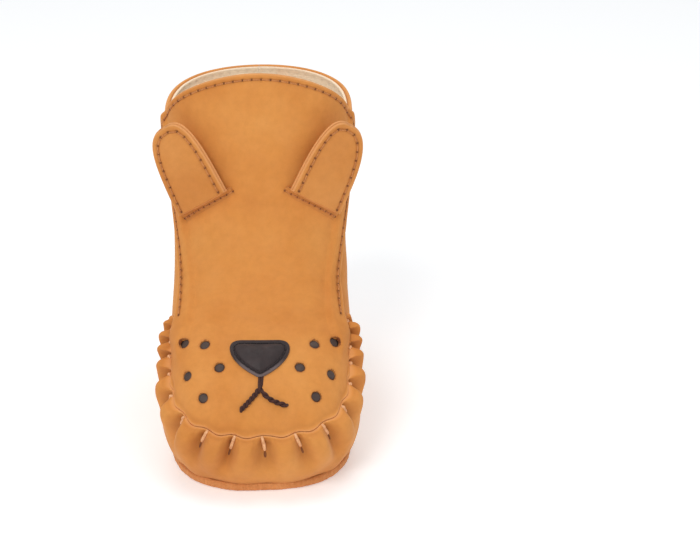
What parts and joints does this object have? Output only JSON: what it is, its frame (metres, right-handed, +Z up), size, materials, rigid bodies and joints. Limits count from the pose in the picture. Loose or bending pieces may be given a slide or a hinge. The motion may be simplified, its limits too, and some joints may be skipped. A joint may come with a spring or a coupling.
{
  "type": "baby bootie",
  "caption": "Soft leather baby bootie with an animal face, two flexible ears, gathered toe wrap, cotton lining, soft sole and hook-and-loop rear flap.",
  "frame": {"origin": "centre of the bounding box's base, on the underside of the sole", "axes": "+Z up; the toe points along -Y and the heel along +Y; +X runs across the foot, towards the flap's crease side"},
  "size_m": [0.068, 0.1191, 0.118],
  "materials": {
    "tan_leather": "nubuck, matt",
    "sole_suede": "suede, raw edge",
    "dark_leather": "smooth, matt",
    "cotton_lining": "soft brushed cotton",
    "insole_foam": "open-cell foam",
    "ochre_thread": "twisted thread",
    "dark_thread": "twisted embroidery yarn",
    "pale_lace": "thin cut lace",
    "loop_fleece": "loop side of hook-and-loop tape",
    "hook_tape": "hook side of hook-and-loop tape"
  },
  "bodies": {
    "bootie": {"outsole": "sole_suede", "foam_insole": "insole_foam", "sock_liner": "cotton_lining", "toe_wrap": "tan_leather", "gather_lacing": "pale_lace", "face_panel": "tan_leather", "muzzle_underlay": "dark_leather", "nose_patch": "dark_leather", "nose_stitching": "dark_thread", "mouth_embroidery": "dark_thread", "panel_stitching": "ochre_thread", "quarter_left": "tan_leather", "quarter_right": "tan_leather", "rear_rim_stitching": "ochre_thread", "back_seam_stitching": "ochre_thread", "lining_front": "cotton_lining", "lining_left": "cotton_lining", "lining_right": "cotton_lining", "ear_left_tab": "tan_leather", "ear_right_tab": "tan_leather", "ear_base_stitching": "ochre_thread", "flap_sewn_edge": "tan_leather", "flap_stitching": "ochre_thread", "loop_tape": "loop_fleece"},
    "left_ear": {"ear_left_front": "tan_leather", "ear_left_back": "tan_leather", "ear_left_stitching": "ochre_thread"},
    "right_ear": {"ear_right_front": "tan_leather", "ear_right_back": "tan_leather", "ear_right_stitching": "ochre_thread"},
    "flap": {"closure_flap": "tan_leather", "flap_edge_stitching": "ochre_thread", "hook_tape": "hook_tape"}
  },
  "joints": [
    {"name": "left_ear_bend", "type": "hinge", "parent": "bootie", "child": "left_ear", "pos_m": [-0.01839, 0.0027, 0.07532], "axis": [0.795, -0.2867, 0.5346], "range_deg": [-8, 60], "stiffness_Nm_per_rad": 0.004},
    {"name": "right_ear_bend", "type": "hinge", "parent": "bootie", "child": "right_ear", "pos_m": [0.01839, 0.0027, 0.07532], "axis": [0.795, 0.2867, -0.5346], "range_deg": [-8, 60], "stiffness_Nm_per_rad": 0.004},
    {"name": "flap_open", "type": "hinge", "parent": "bootie", "child": "flap", "pos_m": [0.00608, 0.05606, 0.07797], "axis": [0.0003, -0.0191, -0.9998], "range_deg": [0, 110]}
  ]
}
